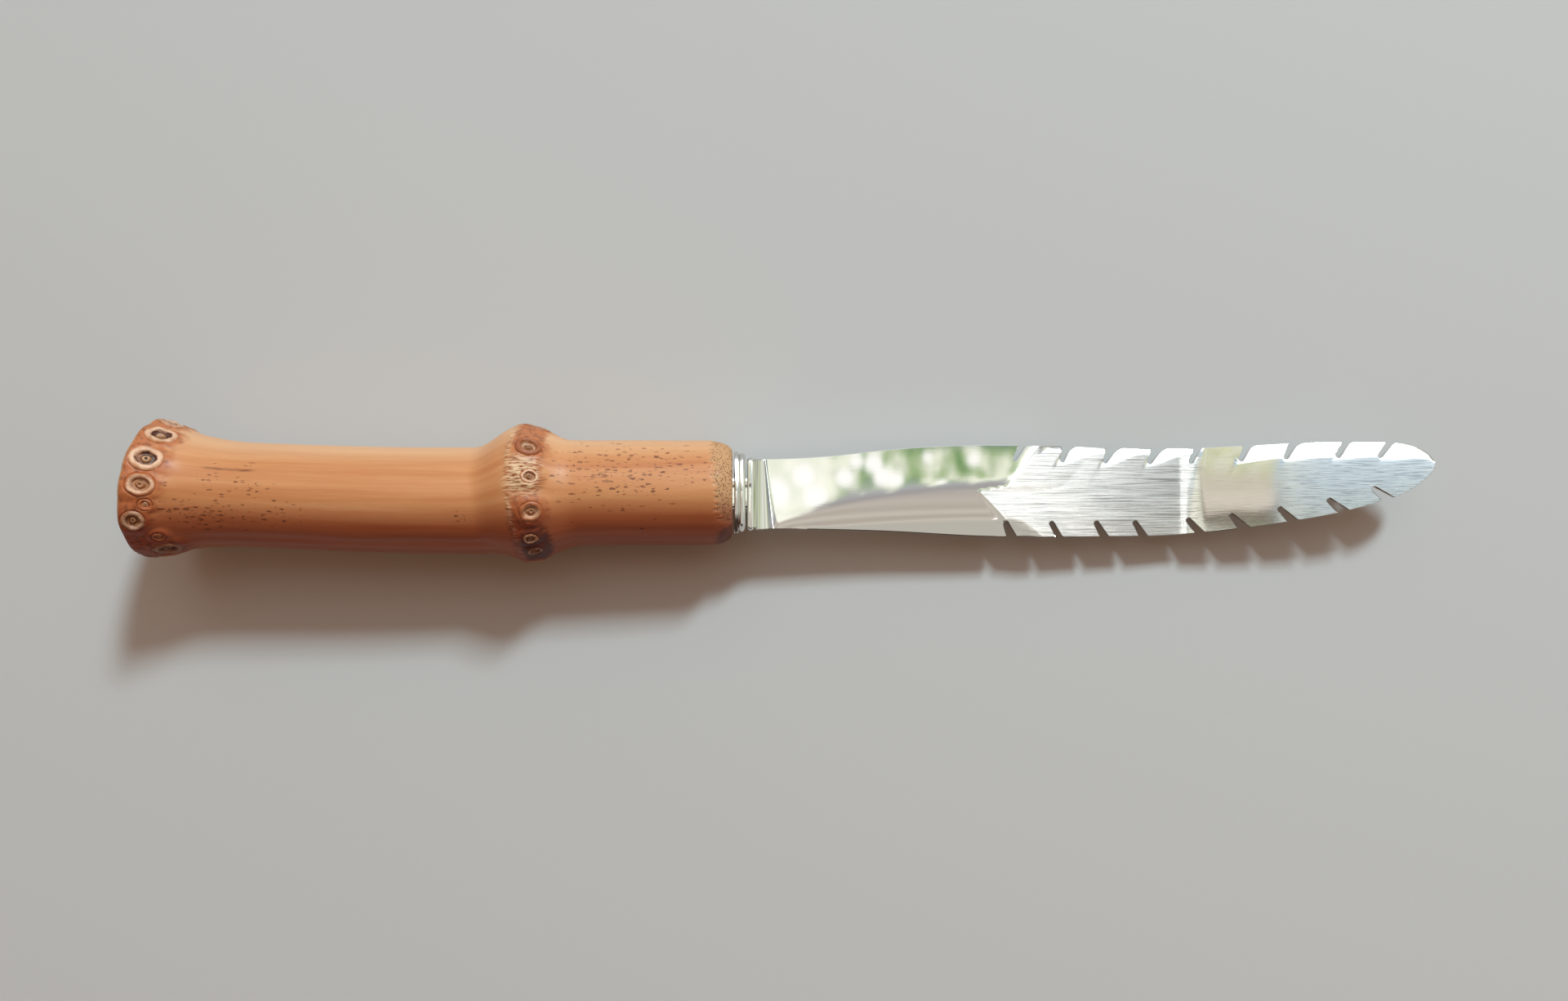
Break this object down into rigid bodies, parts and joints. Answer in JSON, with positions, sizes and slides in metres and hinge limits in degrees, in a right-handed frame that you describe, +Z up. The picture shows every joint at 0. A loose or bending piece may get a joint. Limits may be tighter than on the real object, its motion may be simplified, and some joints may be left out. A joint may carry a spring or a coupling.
{
  "type": "grapefruit knife",
  "caption": "Table knife for citrus fruit: a double-edged notched steel blade with a turned-up tip, cemented into a root-bamboo handle behind a thin collar.",
  "frame": {"origin": "on the floor under the middle of the knife's box, with the knife lying as it comes to rest on a root scar of its middle node and its front shoulder", "axes": "+X along the knife towards the blade's tip, +Y towards the blade's straighter edge, +Z up, square to the floor, with the blade's face up and its tip turned up"},
  "size_m": [0.1906, 0.0206, 0.0218],
  "materials": {
    "blade_steel": "mirror polish near the handle, lengthwise brushed towards the tip",
    "collar_steel": "polished",
    "bamboo": "lacquered root bamboo",
    "cement": "hard dark filler"
  },
  "bodies": {
    "root": {"blade": "blade_steel", "bolster_collar": "collar_steel", "bamboo_handle": "bamboo", "tang_cement": "cement"}
  },
  "joints": []
}
